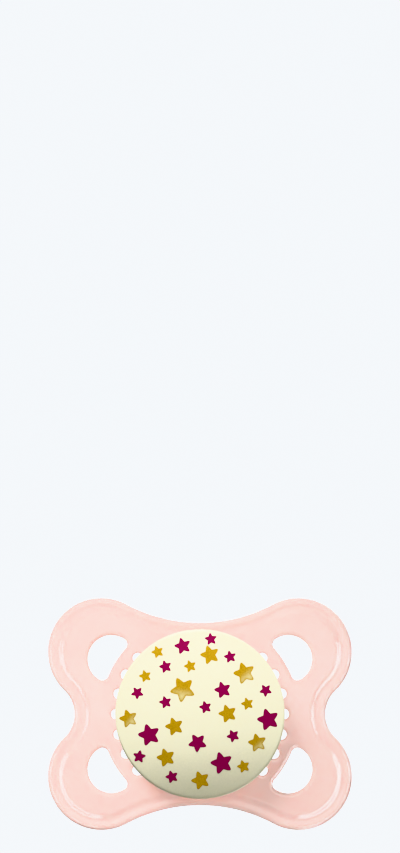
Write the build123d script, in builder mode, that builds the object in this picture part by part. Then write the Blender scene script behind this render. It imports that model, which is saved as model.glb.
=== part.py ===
from build123d import *
from math import cos, radians, sin, sqrt
import os

# A baby's pacifier: a shield with four lobes, a silicone teat, and a round button on a short neck.
#
# The frame is in millimetres. X is to the right and Z is up, both as seen from the button's side, and
# Y is the teat's axis. The button faces -Y and the teat points to +Y. The origin is on the teat's
# axis, on the shield's mouth side.

# --- Shield: outline ---
SHIELD_WIDTH = 62.0
SHIELD_HEIGHT = 47.2
LOBE_RADIUS = 10.9
SIDE_HOLLOW_RADIUS = 6.6
TOP_HOLLOW_RADIUS = 31.6

# --- Shield: plate ---
PLATE_THICKNESS = 2.2
BEND_RADIUS_ACROSS = 64.0  # the mouth side, bent about a vertical axis
BEND_RADIUS_UP = 200.0  # the mouth side, bent about a level axis
RIM_WIDTH = 2.4  # the low border round the raised field
FIELD_RISE = 0.3
RIM_ROUNDING = 0.8

# --- Shield: vents and air holes ---
VENT_DISTANCE = 21.2  # from the teat's axis to the centre of a vent's outer arc
VENT_ANGLE = 31.9  # above and below the level line
VENT_RADIUS = 4.87
VENT_INNER_RADIUS = 20.15  # the vents' straight-looking side, an arc about the teat's axis
VENT_TIP_ROUNDING = 1.3
AIR_HOLE_CIRCLE = 17.05
AIR_HOLE_RADIUS = 1.07
AIR_HOLES_A_SIDE = 7
AIR_HOLE_PITCH = 14.0  # degrees

# --- Shield: seat and socket for the teat and the button ---
SEAT_MARGIN = 1.0  # flat ring left round the button's neck
LEDGE_THICKNESS = 1.2  # what the teat's flange pulls against
SOCKET_WALL = 1.5
SOCKET_END_GAP = 0.4  # between the socket's open end and the carrier's plate

# --- Teat ---
TEAT_NECK_RADIUS = 6.1
TEAT_WALL = 1.9
TEAT_FLANGE_WIDTH = 1.9
TEAT_FLANGE_THICKNESS = 1.6
FLEX_Y = 3.0  # where the neck bends, measured from the shield's mouth side
FLEX_BALL_MARGIN = 0.6  # how much larger than the neck the ball at the bending point is
FLEX_GAP = 0.3
BULB_HALF_WIDTH = 7.3
BULB_HALF_DEPTH = 5.7
BULB_MIDDLE_Y = 19.5  # where the bulb is widest
BULB_TIP_LENGTH = 7.5  # from there to the tip
BULB_WAIST_Y = 10.5
BULB_WAIST_HALF_WIDTH = 5.5
BULB_WAIST_HALF_DEPTH = 4.7
BULB_FLANK_HALF_WIDTH = 6.6  # halfway between the waist and the middle
BULB_FLANK_HALF_DEPTH = 5.3

# --- Plug inside the teat's root ---
PLUG_FLANGE_THICKNESS = 1.4
PLUG_STEM_LENGTH = 4.4  # it ends before the neck bends
PLUG_HOLE_RADIUS = 2.6
PLUG_LEAD_IN = 0.8

# --- Button ---
CAP_RADIUS = 17.2
CAP_GAP = 2.6  # between the seat and the cap's open edge
CAP_RISE = 3.0
CAP_WALL = 1.5
CAP_ROUNDING = 1.2
CARRIER_RECESS = 0.8  # how far the carrier's plate sits inside the skirt
CARRIER_PLATE = 1.4
ROOF_CLEARANCE = 0.2  # between the carrier's plate and the edge of the cap's roof
NECK_WALL = 1.5
HUB_WIDTH = 2.4

# --- Fits ---
SLIP_FIT = 0.05  # radial, between moulded pieces that stay together
SNAP_BEAD = 0.25  # radius of the snap beads

# Values worked out from the ones above.
LOBE_X = SHIELD_WIDTH / 2 - LOBE_RADIUS
LOBE_Z = SHIELD_HEIGHT / 2 - LOBE_RADIUS
VENT_X = VENT_DISTANCE * cos(radians(VENT_ANGLE))
VENT_Z = VENT_DISTANCE * sin(radians(VENT_ANGLE))
TEAT_BORE_RADIUS = TEAT_NECK_RADIUS + SLIP_FIT
TEAT_HOLLOW_RADIUS = TEAT_NECK_RADIUS - TEAT_WALL
TEAT_FLANGE_RADIUS = TEAT_NECK_RADIUS + TEAT_FLANGE_WIDTH
FLEX_BALL_RADIUS = TEAT_NECK_RADIUS + FLEX_BALL_MARGIN
SOCKET_RADIUS = TEAT_FLANGE_RADIUS + SLIP_FIT
SOCKET_OUTER_RADIUS = SOCKET_RADIUS + SOCKET_WALL
NECK_INNER_RADIUS = SOCKET_OUTER_RADIUS + SLIP_FIT
NECK_RADIUS = NECK_INNER_RADIUS + NECK_WALL
SEAT_RADIUS = NECK_RADIUS + SEAT_MARGIN
CAP_INNER_RADIUS = CAP_RADIUS - CAP_WALL
DOME_RADIUS = (CAP_RADIUS**2 + CAP_RISE**2) / (2 * CAP_RISE)

# Places along the teat's axis, from the mouth side to the button's face.
SEAT_Y = -PLATE_THICKNESS
LEDGE_Y = -LEDGE_THICKNESS
PLUG_Y = LEDGE_Y - TEAT_FLANGE_THICKNESS
HUB_Y = PLUG_Y - PLUG_FLANGE_THICKNESS
CAP_EDGE_Y = SEAT_Y - CAP_GAP
CARRIER_Y = CAP_EDGE_Y - CARRIER_RECESS
SOCKET_END_Y = CARRIER_Y + SOCKET_END_GAP
CARRIER_FACE_Y = CARRIER_Y - CARRIER_PLATE
ROOF_EDGE_Y = CARRIER_FACE_Y - ROOF_CLEARANCE
DOME_CENTRE_Y = ROOF_EDGE_Y + sqrt((DOME_RADIUS - CAP_WALL) ** 2 - CAP_INNER_RADIUS**2)
CAP_APEX_Y = DOME_CENTRE_Y - DOME_RADIUS
SKIRT_END_Y = CAP_APEX_Y + CAP_RISE
SOCKET_BEAD_Y = SOCKET_END_Y + 2 * SNAP_BEAD
CAP_BEAD_Y = CARRIER_Y - CARRIER_PLATE / 2

CUT_LENGTH = BEND_RADIUS_ACROSS / 2  # deeper than the bent plate, and short of the barrel's far side

os.makedirs("parts", exist_ok=True)


def across(y):
    """Plane square to the teat's axis at y, with its own x along X and its own y along Z."""
    return Plane(origin=(0, y, 0), x_dir=(1, 0, 0), z_dir=(0, -1, 0))


def band(inner, outer, start, end):
    """Rectangle from radius inner to outer and from y start to end, ready to revolve about Y."""
    with Locations(((inner + outer) / 2, (start + end) / 2)):
        Rectangle(outer - inner, abs(end - start))


def hollow_distance(along, radius):
    """How far past the lobe's centre, outwards, the centre of a hollow lies on its middle line.

    along is the lobe centre's distance from that line. The hollow is tangent to the lobe.
    """
    return sqrt((LOBE_RADIUS + radius) ** 2 - along**2)


def touching_point(hollow_centre):
    """Where the lobe's circle touches the hollow's circle."""
    lobe_centre = Vector(LOBE_X, LOBE_Z)
    return lobe_centre + (hollow_centre - lobe_centre).normalized() * LOBE_RADIUS


def shield_outline(inset=0.0):
    """Face of the shield's outline: two hollows and a lobe in one quarter, mirrored twice."""
    side_centre = Vector(LOBE_X + hollow_distance(LOBE_Z, SIDE_HOLLOW_RADIUS), 0)
    top_centre = Vector(0, LOBE_Z + hollow_distance(LOBE_X, TOP_HOLLOW_RADIUS))
    side_middle = side_centre - Vector(SIDE_HOLLOW_RADIUS, 0)
    top_middle = top_centre - Vector(0, TOP_HOLLOW_RADIUS)
    side_end = touching_point(side_centre)
    top_end = touching_point(top_centre)
    lobe_middle = Vector(LOBE_X, LOBE_Z) + Vector(1, 1).normalized() * LOBE_RADIUS
    with BuildSketch() as outline:
        with BuildLine():
            Line((0, 0), side_middle)
            RadiusArc(side_middle, side_end, SIDE_HOLLOW_RADIUS)
            ThreePointArc(side_end, lobe_middle, top_end)
            RadiusArc(top_end, top_middle, TOP_HOLLOW_RADIUS)
            Line(top_middle, (0, 0))
        make_face()
        mirror(about=Plane.YZ)
        mirror(about=Plane.XZ)
        if inset:
            offset(amount=-inset, mode=Mode.REPLACE)
    return outline.sketch


def bent_sheet(front, back):
    """Closed barrel, doubly bent as the shield is, from front to back of the shield's mouth side."""
    with BuildPart() as barrel:
        with BuildSketch(Plane.YZ):
            with Locations((BEND_RADIUS_UP, 0)):
                Circle(BEND_RADIUS_UP + front)
                Circle(BEND_RADIUS_UP - back, mode=Mode.SUBTRACT)
            with Locations((0, 0)):
                Rectangle(BEND_RADIUS_ACROSS, SHIELD_HEIGHT * 1.2, mode=Mode.INTERSECT)
        revolve(axis=Axis((0, BEND_RADIUS_ACROSS, 0), (0, 0, 1)))
    return barrel.part


# Pieces of the shield's shape: the raised field, the seat with its socket, and the holes.
field_outline = shield_outline(inset=RIM_WIDTH)
field_sheet = bent_sheet(PLATE_THICKNESS + FIELD_RISE, -PLATE_THICKNESS / 2)
with BuildPart() as field:
    with BuildSketch(across(0)):
        add(field_outline)
    extrude(amount=CUT_LENGTH, both=True)
    add(field_sheet, mode=Mode.INTERSECT)

seat_sheet = bent_sheet(2 * PLATE_THICKNESS, 0)
with BuildPart() as seat:
    with BuildSketch(across(SEAT_Y)):
        Circle(SEAT_RADIUS)
    extrude(amount=-CUT_LENGTH)
    add(seat_sheet, mode=Mode.INTERSECT)
    with BuildSketch(Plane.XY):
        band(0, SOCKET_OUTER_RADIUS, SOCKET_END_Y, SEAT_Y)
        with Locations((SOCKET_OUTER_RADIUS, SOCKET_BEAD_Y)):
            Circle(SNAP_BEAD)
    revolve(axis=Axis.Y)

with BuildPart() as socket_bore:
    with BuildSketch(Plane.XY):
        band(0, TEAT_BORE_RADIUS, LEDGE_Y, CUT_LENGTH)
        band(0, SOCKET_RADIUS, LEDGE_Y, -CUT_LENGTH)
    revolve(axis=Axis.Y)

half_spread = AIR_HOLE_PITCH * (AIR_HOLES_A_SIDE - 1) / 2
with BuildPart() as shield_holes:
    with BuildSketch(across(0)) as hole_outlines:
        with Locations((VENT_X, VENT_Z)):
            Circle(VENT_RADIUS)
        Circle(VENT_INNER_RADIUS, mode=Mode.SUBTRACT)
        fillet(hole_outlines.vertices(), VENT_TIP_ROUNDING)
        mirror(about=Plane.YZ)
        mirror(about=Plane.XZ)
        for side in (0, 180):
            with PolarLocations(
                AIR_HOLE_CIRCLE,
                AIR_HOLES_A_SIDE,
                start_angle=side - half_spread,
                angular_range=2 * half_spread,
                endpoint=True,
            ):
                Circle(AIR_HOLE_RADIUS)
    extrude(amount=CUT_LENGTH, both=True)

# The shield: a plate bent two ways, with the raised field, the seat, the socket and the holes.
plate_outline = shield_outline()
plate_sheet = bent_sheet(PLATE_THICKNESS, 0)
with BuildPart() as shield:
    with BuildSketch(across(0)):
        add(plate_outline)
    extrude(amount=CUT_LENGTH, both=True)
    add(plate_sheet, mode=Mode.INTERSECT)
    outline_edges = shield.edges().filter_by(lambda edge: edge.length > 1.5 * PLATE_THICKNESS)
    fillet(outline_edges, RIM_ROUNDING)
    add(field.part)
    with BuildSketch(across(SEAT_Y)):
        Circle(SEAT_RADIUS)
    extrude(amount=CUT_LENGTH, mode=Mode.SUBTRACT)
    add(seat.part)
    add(shield_holes.part, mode=Mode.SUBTRACT)
    add(socket_bore.part, mode=Mode.SUBTRACT)
shield.part.label = "shield"
export_step(shield.part, "parts/shield.step")

# The teat's root: a flange held on the socket's ledge, and a neck that ends in a ball about the
# bending point, where the bulb starts.
with BuildPart() as teat_root:
    with BuildSketch(Plane.XY):
        band(TEAT_HOLLOW_RADIUS, TEAT_NECK_RADIUS, FLEX_Y, FLEX_Y + FLEX_BALL_RADIUS)
        with Locations((0, FLEX_Y)):
            Circle(FLEX_BALL_RADIUS, mode=Mode.INTERSECT)
        band(TEAT_HOLLOW_RADIUS, TEAT_NECK_RADIUS, LEDGE_Y, FLEX_Y)
        band(TEAT_HOLLOW_RADIUS, TEAT_FLANGE_RADIUS, PLUG_Y, LEDGE_Y)
    revolve(axis=Axis.Y)
teat_root.part.label = "teat_root"
export_step(teat_root.part, "parts/teat_root.step")


def bulb_shape(shrink):
    """Flattened bulb from the ball's middle to the tip, with every half width less by shrink."""
    sections = [
        (FLEX_Y, TEAT_NECK_RADIUS, TEAT_NECK_RADIUS),
        (FLEX_Y + FLEX_BALL_RADIUS / 2, TEAT_NECK_RADIUS, TEAT_NECK_RADIUS),
        (BULB_WAIST_Y, BULB_WAIST_HALF_WIDTH, BULB_WAIST_HALF_DEPTH),
        ((BULB_WAIST_Y + BULB_MIDDLE_Y) / 2, BULB_FLANK_HALF_WIDTH, BULB_FLANK_HALF_DEPTH),
        (BULB_MIDDLE_Y, BULB_HALF_WIDTH, BULB_HALF_DEPTH),
    ]
    with BuildPart() as body:
        for y, half_width, half_depth in sections:
            with BuildSketch(across(y)):
                Ellipse(half_width - shrink, half_depth - shrink)
        loft()
    with BuildPart() as tip:
        Sphere(1)
        split(bisect_by=across(0), keep=Keep.BOTTOM)
    tip_size = (BULB_HALF_WIDTH - shrink, BULB_TIP_LENGTH - shrink, BULB_HALF_DEPTH - shrink)
    return body.part + Pos(0, BULB_MIDDLE_Y, 0) * scale(tip.part, by=tip_size)


# The teat's bulb: hollow, and cut back to a hollow ball about the bending point.
bulb_outside = bulb_shape(0)
bulb_inside = bulb_shape(TEAT_WALL)
with BuildPart() as teat_bulb:
    add(bulb_outside)
    add(bulb_inside, mode=Mode.SUBTRACT)
    with Locations((0, FLEX_Y, 0)):
        Sphere(FLEX_BALL_RADIUS + FLEX_GAP, mode=Mode.SUBTRACT)
teat_bulb.part.label = "teat_bulb"
export_step(teat_bulb.part, "parts/teat_bulb.step")

# The plug: a flange on the teat's flange, and a hollow stem that keeps the neck from pulling out.
with BuildPart() as teat_plug:
    with BuildSketch(Plane.XY):
        band(PLUG_HOLE_RADIUS, TEAT_FLANGE_RADIUS, HUB_Y, PLUG_Y)
        band(PLUG_HOLE_RADIUS, TEAT_HOLLOW_RADIUS - SLIP_FIT, PLUG_Y, PLUG_Y + PLUG_STEM_LENGTH)
    revolve(axis=Axis.Y)
    stem_end = teat_plug.edges().filter_by(GeomType.CIRCLE).group_by(Axis.Y)[-1]
    chamfer(stem_end.sort_by(SortBy.RADIUS)[-1], PLUG_LEAD_IN)
teat_plug.part.label = "teat_plug"
export_step(teat_plug.part, "parts/teat_plug.step")

# The button's carrier: a hub that holds the plug down, a neck that snaps on the socket, and a plate.
with BuildPart() as button_carrier:
    with BuildSketch(Plane.XY):
        band(0, CAP_INNER_RADIUS - SLIP_FIT, CARRIER_FACE_Y, CARRIER_Y)
        band(NECK_INNER_RADIUS, NECK_RADIUS, CARRIER_Y, SEAT_Y)
        band(TEAT_FLANGE_RADIUS - HUB_WIDTH, TEAT_FLANGE_RADIUS, CARRIER_Y, HUB_Y)
        with Locations((CAP_INNER_RADIUS - SLIP_FIT, CAP_BEAD_Y)):
            Circle(SNAP_BEAD)
        with Locations((NECK_INNER_RADIUS, SOCKET_BEAD_Y)):
            Circle(SNAP_BEAD + SLIP_FIT, mode=Mode.SUBTRACT)
    revolve(axis=Axis.Y)
button_carrier.part.label = "button_carrier"
export_step(button_carrier.part, "parts/button_carrier.step")

# The button's cap: a shallow dome with a skirt, snapped over the carrier's plate.
with BuildPart() as button_cap:
    with BuildSketch(Plane.XY) as cap_profile:
        with BuildLine():
            Line((0, CAP_APEX_Y), (0, CAP_APEX_Y + CAP_WALL))
            RadiusArc(
                (0, CAP_APEX_Y + CAP_WALL), (CAP_INNER_RADIUS, ROOF_EDGE_Y), -(DOME_RADIUS - CAP_WALL)
            )
            Line((CAP_INNER_RADIUS, ROOF_EDGE_Y), (CAP_INNER_RADIUS, CAP_EDGE_Y))
            Line((CAP_INNER_RADIUS, CAP_EDGE_Y), (CAP_RADIUS, CAP_EDGE_Y))
            Line((CAP_RADIUS, CAP_EDGE_Y), (CAP_RADIUS, SKIRT_END_Y))
            RadiusArc((CAP_RADIUS, SKIRT_END_Y), (0, CAP_APEX_Y), DOME_RADIUS)
        make_face()
        corner = cap_profile.vertices().group_by(Axis.X)[-1].sort_by(Axis.Y)[0]
        fillet(corner, CAP_ROUNDING)
        with Locations((CAP_INNER_RADIUS, CAP_BEAD_Y)):
            Circle(SNAP_BEAD + SLIP_FIT, mode=Mode.SUBTRACT)
    revolve(axis=Axis.Y)
button_cap.part.label = "button_cap"
export_step(button_cap.part, "parts/button_cap.step")
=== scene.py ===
import math

import bmesh
import bpy
import numpy as np
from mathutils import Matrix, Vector
from mathutils.geometry import delaunay_2d_cdt


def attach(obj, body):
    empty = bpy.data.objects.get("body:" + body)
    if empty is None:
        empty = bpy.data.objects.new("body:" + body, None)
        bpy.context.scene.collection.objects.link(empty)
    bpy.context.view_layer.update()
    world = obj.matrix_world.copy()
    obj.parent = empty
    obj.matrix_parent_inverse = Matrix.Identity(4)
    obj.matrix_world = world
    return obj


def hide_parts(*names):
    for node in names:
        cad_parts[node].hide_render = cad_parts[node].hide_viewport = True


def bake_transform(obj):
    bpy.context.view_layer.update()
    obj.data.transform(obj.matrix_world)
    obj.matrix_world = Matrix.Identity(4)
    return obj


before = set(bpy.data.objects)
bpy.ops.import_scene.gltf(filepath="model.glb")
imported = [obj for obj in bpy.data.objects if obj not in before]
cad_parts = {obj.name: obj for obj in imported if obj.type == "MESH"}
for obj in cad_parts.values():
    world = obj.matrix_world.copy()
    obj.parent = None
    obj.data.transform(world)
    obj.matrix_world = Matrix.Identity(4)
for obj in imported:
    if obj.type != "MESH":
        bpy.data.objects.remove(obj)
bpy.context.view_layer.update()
scene = bpy.context.scene
MM = 0.001  # metres in a millimetre; every piece's sizes are in millimetres

# ---------------------------------------------------------------------------------------------------
# The stage: soft panels of light, a pale board some way under the pacifier, and the camera. The
# pacifier is held by the mouth in use, so it floats level, with its button towards the camera.
# ---------------------------------------------------------------------------------------------------
VIEW_HEIGHT = 173.5  # what the picture takes in from top to bottom, where the pacifier is
VIEW_MIDDLE = 58.5  # how far above the teat's axis the middle of the picture is
LENS, SENSOR = 500.0, 36.0
FLOOR_DROP, FLOOR_HALF = 40.0, 1000.0


def linear(code):
    """Linear red, green, blue and alpha of an sRGB hex colour."""
    srgb = np.array([int(code[start : start + 2], 16) for start in (1, 3, 5)]) / 255
    return (*np.where(srgb <= 0.04045, srgb / 12.92, ((srgb + 0.055) / 1.055) ** 2.4), 1.0)


def node(tree, kind, settings=(), **links):
    """Adds a shader node. settings gives its attributes and input values, links its input sockets."""
    made = tree.nodes.new(kind)
    for key, value in dict(settings).items():
        if isinstance(key, int) or key in made.inputs:
            made.inputs[key].default_value = value
        else:
            setattr(made, key, value)
    for key, socket in links.items():
        tree.links.new(socket, made.inputs[key.replace("_", " ")])
    return made


def material(name, **values):
    """A material, its tree and its Principled shader, with plain values set on its sockets."""
    made = bpy.data.materials.new(name)
    made.use_nodes = True
    shader = made.node_tree.nodes["Principled BSDF"]
    for key, value in values.items():
        shader.inputs[key.replace("_", " ")].default_value = value
    return made, made.node_tree, shader


def aim(thing, place, target):
    """Puts a camera or a light at place, looking at target, both in millimetres."""
    place, target = Vector(place) * MM, Vector(target) * MM
    thing.location = place
    thing.rotation_euler = (target - place).to_track_quat("-Z", "Y").to_euler()
    scene.collection.objects.link(thing)
    return thing


def panel(name, place, size, power, lights_only=None, shaded_by=None, lean=0):
    """A soft rectangular light aimed at the origin: width and height in millimetres, power in watts,
    leaning by degrees. It can be kept to one collection's pieces, and be shaded by one's alone."""
    light = bpy.data.lights.new(name, "AREA")
    light.shape = "RECTANGLE"
    light.size, light.size_y = size[0] * MM, size[1] * MM
    light.energy = power
    made = aim(bpy.data.objects.new(name, light), place, (0, 0, 0))
    made.rotation_euler.rotate_axis("Z", math.radians(lean))
    made.light_linking.receiver_collection = lights_only
    made.light_linking.blocker_collection = shaded_by
    return made


lens = bpy.data.cameras.new("camera")
lens.lens, lens.sensor_width = LENS, SENSOR
lens.clip_end = 20
scene.camera = aim(
    bpy.data.objects.new("camera", lens), (0, -LENS * VIEW_HEIGHT / SENSOR, 0), (0, 0, VIEW_MIDDLE)
)
scene.view_settings.view_transform = "Khronos PBR Neutral"

# A high key lights the button, the teat and the board. The shield has a key from the left, which
# throws the button's shadow on it, and a low light in front that only the shield itself shades. Two
# weaker panels light everything, from below and from behind.
shield_lit = bpy.data.collections.new("shield_lit")
button_lit = bpy.data.collections.new("button_lit")
panel("key_above", (-100, -295, 790), (420, 320), 25.2, button_lit)
panel("rim_below", (280, 160, -500), (500, 200), 1.7)
panel("fill_behind", (200, 700, 350), (600, 500), 4.0)
for name, place, size, power, shades in (
    ("key_left", (-330, -540, 520), (380, 320), 17.2, None),
    ("low_front", (200, -640, -330), (600, 300), 2.8, shield_lit),
):
    panel(name, place, size, power, shield_lit, shades).visible_glossy = False

# Three panels on each side light nothing directly. They show only as reflections in the glossy
# shield: crescents along the lower lobes, short ones on the upper lobes, and a pale veil over those.
for flip in (-1, 1):
    for name, across, depth, rise, size, power, lean in (
        ("crescent", 524, -98, -273, (110, 760), 8.0, 30),
        ("short_crescent", 591, -50, 45, (85, 170), 1.4, 12),
        ("veil", 425, -623, 115, (520, 270), 1.7, 0),
    ):
        place = (flip * across, depth, rise)
        panel(name, place, size, power, shield_lit, None, -flip * lean).visible_diffuse = False

# The surround is bright in a low band all round and dim above and below it, so that most of the light
# comes from the panels. The camera itself sees one even backdrop.
BACKDROP, SURROUND = linear("#F4F8FC"), 2.115
# Pairs of height and share of the full brightness, with 0 straight down, 0.5 level and 1 straight up.
BAND = (0, 0.056), (0.47, 0.056), (0.48, 1), (0.535, 1), (0.55, 0.178), (1, 0.178)
world = bpy.data.worlds.new("studio")
scene.world = world
world.use_nodes = True
tree = world.node_tree
direction = node(tree, "ShaderNodeTexCoord").outputs["Generated"]
height = node(tree, "ShaderNodeSeparateXYZ", Vector=direction).outputs["Z"]
share = node(tree, "ShaderNodeMapRange", {"From Min": -1, "From Max": 1}, Value=height)
level = node(tree, "ShaderNodeValToRGB", Fac=share.outputs["Result"])
stops = level.color_ramp.elements
for place, value in BAND:
    stop = stops.new(place) if 0 < place < 1 else stops[0 if place == 0 else -1]
    stop.color = (value, value, value, 1)
shown = node(tree, "ShaderNodeMath", {"operation": "MAXIMUM"}, Value=level.outputs["Color"])
tree.links.new(node(tree, "ShaderNodeLightPath").outputs["Is Camera Ray"], shown.inputs[1])
full = {"operation": "MULTIPLY", 1: SURROUND}
strength = node(tree, "ShaderNodeMath", full, Value=shown.outputs[0])
tree.nodes["Background"].inputs["Color"].default_value = BACKDROP
tree.links.new(strength.outputs[0], tree.nodes["Background"].inputs["Strength"])

# The board is matt and pale. Away from the pacifier it turns to the backdrop's own brightness, so
# that no edge shows, and it throws no light back.
FADE_START, FADE_END = 180.0, 800.0
board = bpy.data.meshes.new("floor")
corners = np.array([(-1, -1), (1, -1), (1, 1), (-1, 1)]) * FLOOR_HALF
board.from_pydata(np.insert(corners, 2, -FLOOR_DROP, axis=1) * MM, [], [(0, 1, 2, 3)])
pale, tree, shader = material("matt_pale_board", Base_Color=linear("#EDF1F4"), Roughness=0.9)
place = node(tree, "ShaderNodeTexCoord").outputs["Object"]
away = node(tree, "ShaderNodeVectorMath", {"operation": "LENGTH"}, Vector=place).outputs["Value"]
fade = node(
    tree, "ShaderNodeMapRange", {"From Min": FADE_START * MM, "From Max": FADE_END * MM}, Value=away
)
glow = node(tree, "ShaderNodeEmission", {"Color": BACKDROP, "Strength": SURROUND})
mixed = node(tree, "ShaderNodeMixShader", Fac=fade.outputs["Result"])
tree.links.new(shader.outputs[0], mixed.inputs[1])
tree.links.new(glow.outputs[0], mixed.inputs[2])
tree.links.new(mixed.outputs[0], tree.nodes["Material Output"].inputs["Surface"])
board.materials.append(pale)
floor = bpy.data.objects.new("floor", board)
scene.collection.objects.link(floor)
floor.visible_diffuse = floor.visible_glossy = floor.visible_shadow = False
button_lit.objects.link(floor)

# ---------------------------------------------------------------------------------------------------
# Shield: one moulding in pale pink polypropylene. It is a plate bent two ways, with a rounded lip, a
# groove inside the lip, a raised field, four D-shaped vents, seven air holes on each side, and in its
# middle the flat seat and the socket that the button's neck snaps over.
# ---------------------------------------------------------------------------------------------------
HALF_WIDTH, HALF_HEIGHT = 31.0, 23.6
LOBE_RADIUS, SIDE_HOLLOW, TOP_HOLLOW = 10.9, 6.6, 31.6
VENT_DISTANCE, VENT_ANGLE = 21.2, math.radians(31.9)
VENT_RADIUS, VENT_INNER, VENT_TIP = 4.87, 20.15, 1.3
AIR_CIRCLE, AIR_RADIUS, AIR_COUNT, AIR_PITCH = 17.05, 1.07, 7, math.radians(14)
PLATE, BEND_ACROSS, BEND_UP = 2.2, 64.0, 200.0
LIP_CREST, GROOVE_MIDDLE, FIELD_START = 0.85, 1.9, 3.45  # distances in from the outline
GROOVE_DEPTH, FIELD_RISE = 0.2, 0.3
# Each rounded edge: how far in it reaches, and how far it drops there.
FRONT_LIP, FRONT_VENT, FRONT_AIR = (LIP_CREST, 1.0), (0.9, 0.7), (0.35, 0.35)
BACK_LIP, BACK_VENT, BACK_AIR, BACK_BORE = (0.9, 1.0), (0.6, 0.6), (0.35, 0.35), (0.4, 0.3)
BORE, SOCKET_INSIDE, SOCKET_OUTSIDE, SEAT, SEAT_FILLET = 6.15, 8.05, 9.55, 12.1, 0.5
LEDGE_Y, SOCKET_Y, SEAT_Y = -1.2, -5.2, -PLATE

lobe = np.array([HALF_WIDTH - LOBE_RADIUS, HALF_HEIGHT - LOBE_RADIUS])
side = np.array([lobe[0] + math.sqrt((LOBE_RADIUS + SIDE_HOLLOW) ** 2 - lobe[1] ** 2), 0])
top = np.array([0, lobe[1] + math.sqrt((LOBE_RADIUS + TOP_HOLLOW) ** 2 - lobe[0] ** 2)])
vent = VENT_DISTANCE * np.array([math.cos(VENT_ANGLE), math.sin(VENT_ANGLE)])
tip_distance = VENT_INNER + VENT_TIP
tip_spread = math.acos(
    (tip_distance**2 + VENT_DISTANCE**2 - (VENT_RADIUS - VENT_TIP) ** 2)
    / (2 * tip_distance * VENT_DISTANCE)
)
tips = [
    tip_distance * np.array([math.cos(VENT_ANGLE + turn), math.sin(VENT_ANGLE + turn)])
    for turn in (tip_spread, -tip_spread)
]
air_angle = AIR_PITCH * (np.arange(AIR_COUNT) - (AIR_COUNT - 1) / 2)
air_angle = np.concatenate([air_angle, air_angle + math.pi])
air = AIR_CIRCLE * np.stack([np.cos(air_angle), np.sin(air_angle)], 1)


def heading(start, end):
    """Angle of the line from one point to another."""
    return math.atan2(end[1] - start[1], end[0] - start[0])


def arc(centre, radius, start, end, step):
    """Points step apart on an arc from angle start to angle end, without the last one."""
    count = max(4, math.ceil(abs(end - start) * radius / step))
    angle = start + (end - start) * np.arange(count) / count
    return np.stack([centre[0] + radius * np.cos(angle), centre[1] + radius * np.sin(angle)], 1)


def circle(radius, step, centre=(0, 0)):
    """Points step apart once round a circle."""
    return arc(centre, radius, 0, 2 * math.pi, step)


def outline(inset, step):
    """The shield's outline moved in by inset: hollow, lobe and hollow arcs, tangent to each other."""
    ends = math.pi, heading(side, lobe), heading(lobe, side), heading(lobe, top), heading(top, lobe)
    quarter = np.concatenate(
        [
            arc(side, SIDE_HOLLOW + inset, ends[0], ends[1], step),
            arc(lobe, LOBE_RADIUS - inset, ends[2], ends[3], step),
            arc(top, TOP_HOLLOW + inset, ends[4], -math.pi / 2, step),
            [[0, top[1] - TOP_HOLLOW - inset]],
        ]
    )
    half = np.concatenate([quarter[:-1], quarter[:0:-1] * (-1, 1)])
    return np.concatenate([half, -half])


def vent_outline(outset, step):
    """A vent's edge moved out by outset: the outer arc, a tip, the inner arc and the other tip."""
    far, near = tips
    origin = (0, 0)
    return np.concatenate(
        [
            arc(vent, VENT_RADIUS + outset, heading(vent, near), heading(vent, far), step),
            arc(far, VENT_TIP + outset, heading(vent, far), heading(origin, far) + math.pi, step),
            arc(origin, VENT_INNER - outset, heading(origin, far), heading(origin, near), step),
            arc(
                near,
                VENT_TIP + outset,
                heading(origin, near) + math.pi,
                heading(vent, near) + 2 * math.pi,
                step,
            ),
        ]
    )


def from_outline(spots):
    """Distance in from the shield's outline, right up to the lobes' middles and large past them."""
    spots = np.abs(spots)
    found = np.full(len(spots), LOBE_RADIUS)
    for centre, radius, low, high in (
        (side, -SIDE_HOLLOW, heading(side, lobe), math.pi),
        (lobe, LOBE_RADIUS, heading(lobe, side), heading(lobe, top)),
        (top, -TOP_HOLLOW, -math.pi / 2, heading(top, lobe)),
    ):
        away = spots - centre
        angle = np.arctan2(away[:, 1], away[:, 0])
        angle = np.where((centre is side) & (angle < -3), angle + 2 * math.pi, angle)
        reach = np.sign(radius) * (abs(radius) - np.hypot(*away.T))
        facing = (angle >= low - 1e-9) & (angle <= high + 1e-9)
        found = np.where(facing, np.minimum(found, reach), found)
    return np.maximum(found, 0)


def from_vents(spots):
    """Distance out from the edge of the nearest vent."""
    spots = np.abs(spots)
    away = spots - vent
    angle = np.arctan2(away[:, 1], away[:, 0])
    outside = (angle >= heading(vent, tips[1])) & (angle <= heading(vent, tips[0]))
    turn = np.arctan2(spots[:, 1], spots[:, 0])
    inside = np.abs(turn - VENT_ANGLE) < tip_spread
    to_tips = np.minimum(*(np.hypot(*(spots - tip).T) - VENT_TIP for tip in tips))
    found = np.where(inside, VENT_INNER - np.hypot(*spots.T), to_tips)
    found = np.where(outside, np.hypot(*away.T) - VENT_RADIUS, found)
    return np.maximum(found, 0)


def from_air_holes(spots):
    """Distance out from the edge of the nearest air hole."""
    return np.maximum(np.hypot(*(spots[:, None] - air).transpose(2, 0, 1)).min(1) - AIR_RADIUS, 0)


def rounded(distance, edge):
    """How far the face of a rounded edge has dropped at a distance in from it: a quarter of an
    ellipse, from the edge's whole drop at the edge itself to nothing at its reach."""
    reach, drop = edge
    return drop * (1 - np.sqrt(1 - (1 - np.clip(distance / reach, 0, 1)) ** 2))


def eased(value, low, high):
    """Rises from 0 at low to 1 at high along half a cosine wave."""
    return (1 - np.cos(math.pi * np.clip((value - low) / (high - low), 0, 1))) / 2


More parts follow.
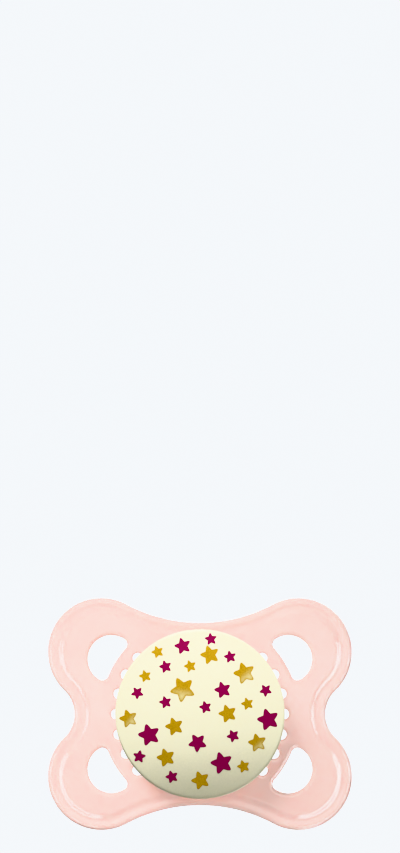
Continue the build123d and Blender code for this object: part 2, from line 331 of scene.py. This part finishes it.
def bent(spots, offset):
    """The y of the bent plate: its mouth side is offset 0, and larger offsets are nearer the button.
    It is an arc about a level axis, turned about an upright one."""
    upright = BEND_ACROSS - BEND_UP + np.sqrt((BEND_UP + offset) ** 2 - spots[:, 1] ** 2)
    return BEND_ACROSS - np.sqrt(upright**2 - spots[:, 0] ** 2)


def shield_front(spots):
    """The y of the front: lip, groove and field by distance from the outline, edges rounded at the
    holes, then the seat, the socket and its ledge by distance from the middle."""
    edge, holes, small = from_outline(spots), from_vents(spots), from_air_holes(spots)
    offset = PLATE - GROOVE_DEPTH * eased(edge, LIP_CREST, GROOVE_MIDDLE)
    offset += (GROOVE_DEPTH + FIELD_RISE) * eased(edge, GROOVE_MIDDLE, FIELD_START)
    offset -= rounded(edge, FRONT_LIP) + rounded(holes, FRONT_VENT) + rounded(small, FRONT_AIR)
    middle = np.hypot(*spots.T)
    y = bent(spots, offset)
    y = SEAT_Y + (y - SEAT_Y) * eased(middle, SEAT, SEAT + SEAT_FILLET)
    y = np.where(middle < SOCKET_OUTSIDE, SOCKET_Y, y)
    return np.where(middle < SOCKET_INSIDE, LEDGE_Y, y)


def shield_back(spots):
    """The y of the mouth side: the bent plate, with every edge rounded."""
    edge, holes, small = from_outline(spots), from_vents(spots), from_air_holes(spots)
    middle = np.hypot(*spots.T) - BORE
    offset = rounded(edge, BACK_LIP) + rounded(holes, BACK_VENT) + rounded(small, BACK_AIR)
    return bent(spots, offset + rounded(middle, BACK_BORE))


def sharp_at(mesh, degrees):
    """Smooth shading, with creases kept where faces meet at more than the angle."""
    mesh.shade_smooth()
    mesh.set_sharp_from_angle(angle=math.radians(degrees))


def finished(name, points, faces, paint, slot, crease=40, **marks):
    """A mesh object from points in millimetres: doubled points merged, faces turned outwards. marks
    are attributes by name, each with a value for every point."""
    mesh = bpy.data.meshes.new(name)
    mesh.from_pydata(points * MM, [], faces)
    for mark, values in marks.items():
        mesh.attributes.new(mark, "FLOAT", "POINT").data.foreach_set("value", values)
    work = bmesh.new()
    work.from_mesh(mesh)
    bmesh.ops.remove_doubles(work, verts=work.verts, dist=1e-7)
    bmesh.ops.recalc_face_normals(work, faces=work.faces)
    work.to_mesh(mesh)
    work.free()
    sharp_at(mesh, crease)
    mesh.materials.append(paint)
    piece = bpy.data.objects.new(name, mesh)
    scene.collection.objects.link(piece)
    return piece


# The mesh: loops of points along every edge, more rows beside the edges where the surface turns fast,
# and a staggered grid over the open field. Joined flat into triangles, they make the front and back.
RIM_STEP, VENT_STEP, AIR_STEP, ROUND_STEP = 0.3, 0.25, 0.2, 0.4  # between points along a row
GRID_ACROSS, GRID_UP = 0.5, 0.43
RIM_CLEAR, VENT_CLEAR, AIR_CLEAR, SEAT_CLEAR = 4.7, 1.35, 0.6, 0.3  # from each edge to the grid
edge_rows = np.array([0.03, 0.1, 0.2, 0.33, 0.48, 0.65, 0.85])  # distances in from an edge
rim_rows = (*edge_rows, *np.arange(1.05, 4.5, 0.22))
quarters = ((1, 1), (-1, 1), (-1, -1), (1, -1))
loops = [outline(0, RIM_STEP), circle(BORE, RIM_STEP)]
loops += [vent_outline(0, VENT_STEP) * flip for flip in quarters]
loops += [circle(AIR_RADIUS, AIR_STEP, centre) for centre in air]
fill = [outline(inset, RIM_STEP) for inset in rim_rows]
for outset in (*edge_rows, 1.1):
    fill += [vent_outline(outset, VENT_STEP) * flip for flip in quarters]
for outset in edge_rows[:4]:
    fill += [circle(AIR_RADIUS + outset, AIR_STEP, centre) for centre in air]
# Rows in close pairs, across the bore's rounding and at both edges of the socket.
for radius in (BORE + 0.1, BORE + 0.4, SOCKET_INSIDE, SOCKET_OUTSIDE):
    fill += [circle(radius - 0.01, ROUND_STEP), circle(radius + 0.01, ROUND_STEP)]
fill += [circle(SEAT + SEAT_FILLET * share, ROUND_STEP) for share in np.linspace(0, 1, 7)]
across = np.arange(-HALF_WIDTH, HALF_WIDTH, GRID_ACROSS)
up = np.arange(-HALF_HEIGHT, HALF_HEIGHT, GRID_UP)
grid = np.stack(np.meshgrid(across, up), -1)
grid[1::2, :, 0] += GRID_ACROSS / 2
grid = grid.reshape(-1, 2)
clear = (from_outline(grid) > RIM_CLEAR) & (from_vents(grid) > VENT_CLEAR)
clear &= (from_air_holes(grid) > AIR_CLEAR) & (np.hypot(*grid.T) > SEAT + SEAT_FILLET + SEAT_CLEAR)
fill.append(grid[clear])

flat = np.concatenate(loops + fill)
sizes = [len(loop) for loop in loops]
starts = np.cumsum([0, *sizes[:-1]])
rings = [start + np.arange(size) for start, size in zip(starts, sizes)]
ring_edges = np.concatenate([np.stack([ring, np.roll(ring, -1)], 1) for ring in rings])
on_ring = np.zeros(len(flat), int)
on_ring[: sum(sizes)] = np.repeat(np.arange(len(loops)) + 1, sizes)
kept, _, triangles, *_ = delaunay_2d_cdt(flat.tolist(), ring_edges.tolist(), [], 0, 1e-6, False)
count = len(flat)
assert len(kept) == count  # no two points fell together, so triangles number them as flat does
triangles = np.array(triangles)
# A triangle with all its corners on one loop lies in a hole or outside a hollow, and goes.
corner_ring = on_ring[triangles]
in_a_hole = (corner_ring[:, 0] > 0) & (corner_ring == corner_ring[:, :1]).all(1)
triangles = triangles[~in_a_hole]
points = np.concatenate(
    [
        np.stack([flat[:, 0], shield_front(flat), flat[:, 1]], 1),
        np.stack([flat[:, 0], shield_back(flat), flat[:, 1]], 1),
    ]
)
walls = np.concatenate([ring_edges, ring_edges[:, ::-1] + count], 1)

# Polypropylene moulded in a polished tool: glossy and slightly see-through at the edges. The
# pigment's flow leaves it faintly cloudy. Its skin is a little uneven, in marks that are under
# 0.1 mm wide and are drawn at 0.25 mm so that they show.
pink, tree, shader = material(
    "pink_polypropylene",
    IOR=1.5,
    Subsurface_Weight=0.3,
    Subsurface_Radius=(1.0, 0.5, 0.42),
    Subsurface_Scale=2.0 * MM,
)
place = node(tree, "ShaderNodeTexCoord").outputs["Object"]
flow = node(tree, "ShaderNodeTexNoise", {"Scale": 1 / (8 * MM), "Detail": 3}, Vector=place)
tone = node(tree, "ShaderNodeValToRGB", Fac=flow.outputs["Fac"])
stops = tone.color_ramp.elements
stops[0].position, stops[1].position = 0.3, 0.7
stops[0].color, stops[1].color = linear("#F6CDC3"), linear("#FAD4CA")
tree.links.new(tone.outputs["Color"], shader.inputs["Base Color"])
grain = node(tree, "ShaderNodeTexNoise", {"Scale": 1 / (0.25 * MM), "Detail": 2}, Vector=place)
gloss = {"To Min": 0.1, "To Max": 0.17}
polish = node(tree, "ShaderNodeMapRange", gloss, Value=grain.outputs["Fac"])
tree.links.new(polish.outputs["Result"], shader.inputs["Roughness"])
relief = {"Strength": 0.2, "Distance": 0.004 * MM}
skin = node(tree, "ShaderNodeBump", relief, Height=grain.outputs["Fac"])
tree.links.new(skin.outputs["Normal"], shader.inputs["Normal"])
faces = triangles.tolist() + (triangles + count).tolist() + walls.tolist()
shield = finished("shield_moulding", points, faces, pink, "shield_plastic")
shield_lit.objects.link(shield)
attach(shield, "holder")
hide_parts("shield")

# ---------------------------------------------------------------------------------------------------
# Button carrier: a round plate with a neck that snaps over the shield's socket and a hub that holds
# the plug down. It is moulded in the same polypropylene, in white, and closes the button's back.
# ---------------------------------------------------------------------------------------------------
CARRIER_RADIUS, CARRIER_FACE_Y, CARRIER_Y = 15.65, -7.0, -5.6
NECK_INSIDE, NECK_OUTSIDE = 9.6, 11.1
HUB_INSIDE, HUB_OUTSIDE, HUB_Y = 5.6, 8.0, -4.2
AROUND = 192  # faces once round a turned piece
CURVE = 5  # points round each softened corner of a profile


def softened(corners):
    """Points along a profile whose corners, each (radius, y, rounding), are cut by smooth curves.
    A corner's curve is a parabola between two points a rounding away along its two sides."""
    corners = np.array(corners, float)
    here, size = corners[:, :2], corners[:, 2:]
    before, after = np.roll(here, 1, 0) - here, np.roll(here, -1, 0) - here
    before /= np.maximum(np.linalg.norm(before, axis=1, keepdims=True), 1e-9)
    after /= np.maximum(np.linalg.norm(after, axis=1, keepdims=True), 1e-9)
    share = np.linspace(0, 1, CURVE)[:, None, None]
    start, end = here + before * size, here + after * size
    curve = (1 - share) ** 2 * start + 2 * share * (1 - share) * here + share**2 * end
    return curve.transpose(1, 0, 2).reshape(-1, 2)


def turned(profile, closed=True):
    """Surface of a profile of (radius, y) carried once round the teat's axis, as points and faces."""
    angle = 2 * math.pi * np.arange(AROUND) / AROUND
    radius, y = profile[:, :1], profile[:, 1:]
    points = np.stack([radius * np.cos(angle), y + 0 * angle, radius * np.sin(angle)], -1)
    return points.reshape(-1, 3), grid_faces(len(profile), AROUND, closed)


def grid_faces(rows, columns, closed_rows):
    """Faces between the rows of a grid of points. Columns always join up, and rows do if closed."""
    row, column = np.meshgrid(np.arange(rows - (not closed_rows)), np.arange(columns), indexing="ij")
    down, right = (row + 1) % rows, (column + 1) % columns
    here, below = row * columns, down * columns
    corners = [here + column, here + right, below + right, below + column]
    return np.stack(corners, -1).reshape(-1, 4)


carrier_profile = softened(
    [
        (0, CARRIER_FACE_Y, 0),
        (CARRIER_RADIUS, CARRIER_FACE_Y, 0.3),
        (CARRIER_RADIUS, CARRIER_Y, 0.3),
        (NECK_OUTSIDE, CARRIER_Y, 0.5),
        (NECK_OUTSIDE, SEAT_Y, 0.25),
        (NECK_INSIDE, SEAT_Y, 0.25),
        (NECK_INSIDE, CARRIER_Y, 0),
        (HUB_OUTSIDE, CARRIER_Y, 0),
        (HUB_OUTSIDE, HUB_Y, 0.2),
        (HUB_INSIDE, HUB_Y, 0.2),
        (HUB_INSIDE, CARRIER_Y, 0),
        (0, CARRIER_Y, 0),
    ]
)
# White polypropylene from a plain tool: a softer gloss than the shield's, faintly cloudy, and uneven
# in marks under 0.1 mm wide, drawn at 0.3 mm so that they show.
white_plastic, tree, shader = material("white_polypropylene", IOR=1.49)
place = node(tree, "ShaderNodeTexCoord").outputs["Object"]
flow = node(tree, "ShaderNodeTexNoise", {"Scale": 1 / (5 * MM), "Detail": 3}, Vector=place)
tone = node(tree, "ShaderNodeValToRGB", Fac=flow.outputs["Fac"])
stops = tone.color_ramp.elements
stops[0].color, stops[1].color = linear("#EDEAE3"), linear("#F7F6F2")
tree.links.new(tone.outputs["Color"], shader.inputs["Base Color"])
grain = node(tree, "ShaderNodeTexNoise", {"Scale": 1 / (0.3 * MM), "Detail": 2}, Vector=place)
gloss = {"To Min": 0.28, "To Max": 0.42}
polish = node(tree, "ShaderNodeMapRange", gloss, Value=grain.outputs["Fac"])
tree.links.new(polish.outputs["Result"], shader.inputs["Roughness"])
carrier = finished("carrier_moulding", *turned(carrier_profile), white_plastic, "carrier_plastic")
button_lit.objects.link(carrier)
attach(carrier, "holder")
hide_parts("button_carrier")

# ---------------------------------------------------------------------------------------------------
# Button cap: a domed disc with a short skirt, moulded in cream plastic that glows in the dark, and
# snapped over the carrier.
# ---------------------------------------------------------------------------------------------------
CAP_RADIUS, CAP_WALL, CAP_ROUNDING = 17.2, 1.5, 0.5
CAP_APEX, CAP_RISE, CAP_EDGE_Y = -11.266, 3.0, -4.8
DOME_POWER = 2.0


def dome_y(radius):
    """The y of the cap's face: it falls back from the apex by the rise, as a power of the radius."""
    return CAP_APEX + CAP_RISE * (radius / CAP_RADIUS) ** DOME_POWER


face = np.linspace(0, CAP_RADIUS - CAP_ROUNDING, 60)
turn = np.linspace(0, 1, 12)[1:, None]
corner = np.array([[CAP_RADIUS, dome_y(CAP_RADIUS)]])
shoulder = np.array([[face[-1], dome_y(face[-1])]])
skirt_top = corner + (0, CAP_ROUNDING)
shoulder = (1 - turn) ** 2 * shoulder + 2 * turn * (1 - turn) * corner + turn**2 * skirt_top
inner = np.linspace(CAP_RADIUS - CAP_WALL, 0, 40)
inner = np.stack([inner, dome_y(inner) + CAP_WALL], 1)
skirt = softened(
    [
        (CAP_RADIUS, CAP_EDGE_Y, 0.35),
        (CAP_RADIUS - CAP_WALL, CAP_EDGE_Y, 0.35),
        (*inner[0], 0),
        (*skirt_top[0], 0),
    ]
)
skirt = skirt[: 2 * CURVE]  # the two corners at its end; the cap's other points are there already
cap_profile = np.concatenate([np.stack([face, dome_y(face)], 1), shoulder, skirt, inner])
# The plastic is full of glowing pigment. Its grains, under 0.1 mm, are drawn at 0.35 mm so that they
# show. They make the colour faintly uneven, the gloss soft and the skin slightly rough.
cream, tree, shader = material(
    "glow_pigment_plastic",
    IOR=1.49,
    Subsurface_Weight=0.15,
    Subsurface_Radius=(1.0, 0.9, 0.7),
    Subsurface_Scale=0.8 * MM,
)
place = node(tree, "ShaderNodeTexCoord").outputs["Object"]
grain = node(tree, "ShaderNodeTexNoise", {"Scale": 1 / (0.35 * MM), "Detail": 3}, Vector=place)
tone = node(tree, "ShaderNodeValToRGB", Fac=grain.outputs["Fac"])
stops = tone.color_ramp.elements
stops[0].position, stops[1].position = 0.25, 0.75
stops[0].color, stops[1].color = linear("#F2EDCB"), linear("#FAF4D2")
tree.links.new(tone.outputs["Color"], shader.inputs["Base Color"])
gloss = {"To Min": 0.32, "To Max": 0.44}
polish = node(tree, "ShaderNodeMapRange", gloss, Value=grain.outputs["Fac"])
tree.links.new(polish.outputs["Result"], shader.inputs["Roughness"])
relief = {"Strength": 0.25, "Distance": 0.01 * MM}
skin = node(tree, "ShaderNodeBump", relief, Height=grain.outputs["Fac"])
tree.links.new(skin.outputs["Normal"], shader.inputs["Normal"])
cap = finished("button_cap_moulding", *turned(cap_profile), cream, "button_plastic")
button_lit.objects.link(cap)
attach(cap, "holder")
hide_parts("button_cap")

# ---------------------------------------------------------------------------------------------------
# Stars: five-pointed with rounded tips, pad-printed on the cap in magenta ink and in gold ink. The
# ink is a film thinner than paper. Some gold stars are paler inside towards one side: a painted
# sheen, like the shine of metallic foil.
# ---------------------------------------------------------------------------------------------------
SMALL, MEDIUM, LARGE, LARGEST = 1.31, 1.9, 2.28, 2.6  # from a star's middle to its tips
STAR_WAIST = 0.57  # the notches' distance from the middle, as a share of the tips'
STAR_POINTS = 80  # round each star's outline
STAR_TIP = 0.2  # how blunt the tips are, in radians about the star's middle
FILM, FILM_ROOT = 0.015, 0.05  # how far the ink stands out of the cap, and reaches into it
INK_PAINTED_LIGHT = 1.2  # painted light: a glow the inks are given in their own colour, so that it holds in shade
SHEEN_FROM, SHEEN_TO = -0.5, 0.7  # where the painted sheen starts and ends, as shares of the star's size
OUTLINE_KEPT = 0.6  # how much of the painted sheen the ink at the outline escapes
# Each star: x and z of its middle, size and lean in degrees, then the direction of its painted
# sheen, if it has one.
magenta_stars = [
    (-3.5, 13.8, 1.75, 16), (6.1, 11.6, SMALL, 12), (-7.0, 9.6, 1.35, 16), (4.6, 4.9, 1.75, 16),
    (13.3, 4.8, SMALL, 33), (-12.7, 4.3, SMALL, 34), (-7.0, 2.4, SMALL, 15), (1.1, 1.4, SMALL, 15),
    (13.8, -1.1, LARGE, 16), (-10.3, -4.2, LARGE, 16), (6.7, -4.4, SMALL, 26),
    (-0.5, -5.8, MEDIUM, 32), (-12.3, -8.6, SMALL, -9), (4.4, -9.9, LARGE, 16),
    (-5.7, -12.7, SMALL, 18), (2.2, 15.2, SMALL, 8),
]  # fmt: skip
gold_stars = [
    (2.0, 12.0, 2.0, 17), (-2.0, 9.7, SMALL, 17), (9.0, 8.3, LARGE, 18, -50),
    (-11.1, 7.7, SMALL, 16), (-3.5, 5.0, LARGEST, 28, -95), (9.6, 2.1, SMALL, 17),
    (5.6, 0.1, MEDIUM, 17), (-14.5, -0.9, MEDIUM, 17, -40), (-5.2, -2.5, MEDIUM, 17),
    (11.6, -5.8, MEDIUM, 13, -50), (-6.9, -8.8, MEDIUM, 17), (8.8, -10.6, SMALL, 17),
    (0.1, -13.4, MEDIUM, 20), (-8.6, 12.6, SMALL, 20),
]  # fmt: skip


def star_reach(angle):
    """Distance from a star's middle to its edge, for tips at 1: the straight side from tip to notch.
    The turn from the nearest tip is bent level near the tip, so that the tip is blunt."""
    fifth = math.pi / 5
    turn = np.abs((angle + fifth) % (2 * fifth) - fifth)
    turn = fifth * (np.hypot(turn, STAR_TIP) - STAR_TIP) / (math.hypot(fifth, STAR_TIP) - STAR_TIP)
    notch = STAR_WAIST * math.sin(fifth)
    return notch / (notch * np.cos(turn) + (1 - STAR_WAIST * math.cos(fifth)) * np.sin(turn))


def printed(name, stars, paint):
    """Stars as closed films of ink, thinner than paper: rings out from each middle, then back beneath
    the face.
    thin_ink rises to 1 across a star with a painted sheen, and by less near its outline. It is 0 on
    others."""
    stars = np.array([(*star, 0)[:5] for star in stars], float)[:, :, None, None]
    x, z, size, lean, sheen_towards = stars.transpose(1, 0, 2, 3)
    angle = 2 * math.pi * np.arange(STAR_POINTS) / STAR_POINTS
    above = [0, 0.3, 0.55, 0.75, 0.88, 0.97, 1]
    below = [1, 0.97, 0.5, 0]
    ring = np.array(above + below)[:, None]
    lift = np.array([FILM] * len(above) + [-FILM_ROOT] * len(below))[:, None]
    reach = ring * size * star_reach(angle)
    upright = angle + np.radians(lean) + math.pi / 2
    spot_x, spot_z = x + reach * np.cos(upright), z + reach * np.sin(upright)
    y = dome_y(np.hypot(spot_x, spot_z)) - lift
    points = np.stack([spot_x, y, spot_z], -1)
    faces = grid_faces(len(ring), STAR_POINTS, False)
    faces = faces + ring.size * STAR_POINTS * np.arange(len(stars))[:, None, None]
    faces = faces.reshape(-1, 4)
    toward = np.radians(sheen_towards)
    along = ((spot_x - x) * np.cos(toward) + (spot_z - z) * np.sin(toward)) / size
    inner = 1 - OUTLINE_KEPT * eased(ring, 0.6, 1)
    thin = np.where(sheen_towards == 0, 0, inner * eased(along, SHEEN_FROM, SHEEN_TO)).ravel()
    points = points.reshape(-1, 3)
    piece = finished(name, points, faces, paint, "button_plastic", 60, thin_ink=thin)
    button_lit.objects.link(piece)
    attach(piece, "holder")


# Magenta ink: opaque and almost matt, with the faint unevenness of a pad print. Both inks are given
# painted light, a glow in their own colour, so that they hold their colour where the cap turns into
# shade.
magenta, tree, shader = material("magenta_ink", Roughness=0.55, IOR=1.45, Specular_IOR_Level=0.1)
place = node(tree, "ShaderNodeTexCoord").outputs["Object"]
mottle = node(tree, "ShaderNodeTexNoise", {"Scale": 1 / (0.5 * MM), "Detail": 2}, Vector=place)
tone = node(tree, "ShaderNodeValToRGB", Fac=mottle.outputs["Fac"])
stops = tone.color_ramp.elements
stops[0].color, stops[1].color = linear("#530027"), linear("#60002E")
tree.links.new(tone.outputs["Color"], shader.inputs["Base Color"])
# Painted light: the ink glows in its own colour.
tree.links.new(tone.outputs["Color"], shader.inputs["Emission Color"])
shader.inputs["Emission Strength"].default_value = INK_PAINTED_LIGHT

# Gold ink: mica flakes in a clear binder. The flakes are under 0.1 mm, drawn at 0.25 mm so that they
# show. On some stars a painted sheen turns the ink paler towards one side.
gold, tree, shader = material("gold_ink", Roughness=0.5, IOR=1.45, Specular_IOR_Level=0.12)
place = node(tree, "ShaderNodeTexCoord").outputs["Object"]
flakes = node(tree, "ShaderNodeTexNoise", {"Scale": 1 / (0.25 * MM), "Detail": 3}, Vector=place)
tone = node(tree, "ShaderNodeValToRGB", Fac=flakes.outputs["Fac"])
stops = tone.color_ramp.elements
stops[0].position, stops[1].position = 0.3, 0.7
stops[0].color, stops[1].color = linear("#6F5508"), linear("#856812")
thin = node(tree, "ShaderNodeAttribute", {"attribute_name": "thin_ink"}).outputs["Fac"]
# The painted sheen is patchy, broken where the flakes leave gaps.
uneven = {"operation": "MULTIPLY_ADD", 1: 0.5, 2: -0.25}
gaps = node(tree, "ShaderNodeMath", uneven, Value=flakes.outputs["Fac"])
patchy = node(tree, "ShaderNodeMath", {"operation": "ADD", "use_clamp": True}, Value=thin)
tree.links.new(gaps.outputs[0], patchy.inputs[1])
share = node(tree, "ShaderNodeMath", {"operation": "MULTIPLY"}, Value=thin)
tree.links.new(patchy.outputs[0], share.inputs[1])
# The paler colour of the painted sheen.
with_sheen = node(tree, "ShaderNodeMix", {"data_type": "RGBA", 7: linear("#968C60")})
tree.links.new(share.outputs[0], with_sheen.inputs[0])
tree.links.new(tone.outputs["Color"], with_sheen.inputs[6])
tree.links.new(with_sheen.outputs[2], shader.inputs["Base Color"])
# Painted light: the gold ink glows in its own colour.
tree.links.new(with_sheen.outputs[2], shader.inputs["Emission Color"])
shader.inputs["Emission Strength"].default_value = INK_PAINTED_LIGHT
printed("stars_magenta", magenta_stars, magenta)
printed("stars_gold", gold_stars, gold)

# ---------------------------------------------------------------------------------------------------
# Teat plug: a turned stopper with a hollow stem inside the teat's neck. Its flange presses the teat's
# flange against the shield's ledge. It is the same white polypropylene, and the teat hides it.
# ---------------------------------------------------------------------------------------------------
PLUG_Y, STEM_Y, PLUG_HOLE, STEM_RADIUS = -2.8, 1.6, 2.6, 4.15
plug_profile = softened(
    [
        (PLUG_HOLE, HUB_Y, 0.2),
        (HUB_OUTSIDE, HUB_Y, 0.2),
        (HUB_OUTSIDE, PLUG_Y, 0.1),
        (STEM_RADIUS, PLUG_Y, 0.1),
        (STEM_RADIUS, STEM_Y, 0.8),
        (PLUG_HOLE, STEM_Y, 0.3),
    ]
)
plug = finished("plug_moulding", *turned(plug_profile), white_plastic, "plug_plastic")
button_lit.objects.link(plug)
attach(plug, "holder")
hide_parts("teat_plug")

# ---------------------------------------------------------------------------------------------------
# Teat: one dipped skin of clear silicone, with a flange in the shield's socket, a round neck, and a
# flattened hollow bulb. It is soft.
# ---------------------------------------------------------------------------------------------------
TEAT_WALL = 1.9
NECK_RADIUS, FLANGE_RADIUS = 6.1, 8.0
BULB_MIDDLE, TIP_Y = 19.5, 27.0
# The bulb's half width and half depth at stations along it, from the ledge to its fullest place.
STATION_Y = np.array([LEDGE_Y, 3.0, 6.35, 10.5, 15.0, BULB_MIDDLE])
STATION_WIDTH = np.array([NECK_RADIUS, NECK_RADIUS, NECK_RADIUS, 5.5, 6.6, 7.3])
STATION_DEPTH = np.array([NECK_RADIUS, NECK_RADIUS, NECK_RADIUS, 4.7, 5.3, 5.7])


def through(place, knots, values):
    """A smooth curve through values at knots: cubics that meet with one slope, level at both ends."""
    slope = np.concatenate([[0], (values[2:] - values[:-2]) / (knots[2:] - knots[:-2]), [0]])
    index = np.clip(np.searchsorted(knots, place) - 1, 0, len(knots) - 2)
    gap = knots[index + 1] - knots[index]
    share = np.clip((place - knots[index]) / gap, 0, 1)
    rise = values[index + 1] - values[index]
    return (
        values[index]
        + rise * share**2 * (3 - 2 * share)
        + gap * share * (1 - share) * (slope[index] * (1 - share) - slope[index + 1] * share)
    )


def bulb(shrink):
    """Half width, half depth and y from the neck to the tip, with the surface in by shrink."""
    along = np.linspace(LEDGE_Y, BULB_MIDDLE, 60)
    tip = np.linspace(0, math.pi / 2, 30)[1:]
    width = through(along, STATION_Y, STATION_WIDTH) - shrink
    depth = through(along, STATION_Y, STATION_DEPTH) - shrink
    end = [width[-1] * np.cos(tip), depth[-1] * np.cos(tip)]
    end.append(BULB_MIDDLE + (TIP_Y - BULB_MIDDLE - shrink) * np.sin(tip))
    return np.concatenate([np.stack([width, depth, along], 1), np.stack(end, 1)])


flange = softened(
    [
        (NECK_RADIUS - TEAT_WALL, PLUG_Y, 0.2),
        (FLANGE_RADIUS, PLUG_Y, 0.3),
        (FLANGE_RADIUS, LEDGE_Y, 0.3),
        (NECK_RADIUS, LEDGE_Y, 0),
    ]
)
flange = flange[: 3 * CURVE, [0, 0, 1]]  # without its corner at the neck, where the bulb starts
section = np.concatenate([flange, bulb(0), bulb(TEAT_WALL)[::-1]])
angle = 2 * math.pi * np.arange(AROUND) / AROUND
width, depth, y = section.T[:, :, None]
points = np.stack([width * np.cos(angle), y + 0 * angle, depth * np.sin(angle)], -1).reshape(-1, 3)
# Clear silicone off a dipping former: partly see-through and partly milky, with a soft gloss that
# its haze varies in patches of about 3 mm.
silicone, tree, shader = material(
    "clear_silicone",
    IOR=1.41,
    Transmission_Weight=0.7,
    Subsurface_Weight=0.6,
    Subsurface_Radius=(1.0, 1.0, 0.95),
    Subsurface_Scale=3.0 * MM,
)
place = node(tree, "ShaderNodeTexCoord").outputs["Object"]
haze = node(tree, "ShaderNodeTexNoise", {"Scale": 1 / (3 * MM), "Detail": 3}, Vector=place)
tone = node(tree, "ShaderNodeValToRGB", Fac=haze.outputs["Fac"])
stops = tone.color_ramp.elements
stops[0].color, stops[1].color = linear("#F1F2EE"), linear("#FAFBF9")
tree.links.new(tone.outputs["Color"], shader.inputs["Base Color"])
gloss = {"To Min": 0.16, "To Max": 0.3}
polish = node(tree, "ShaderNodeMapRange", gloss, Value=haze.outputs["Fac"])
tree.links.new(polish.outputs["Result"], shader.inputs["Roughness"])
teat = finished("teat_skin", points, grid_faces(len(section), AROUND, True), silicone, "silicone")
button_lit.objects.link(teat)
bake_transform(teat)
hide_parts("teat_root", "teat_bulb")
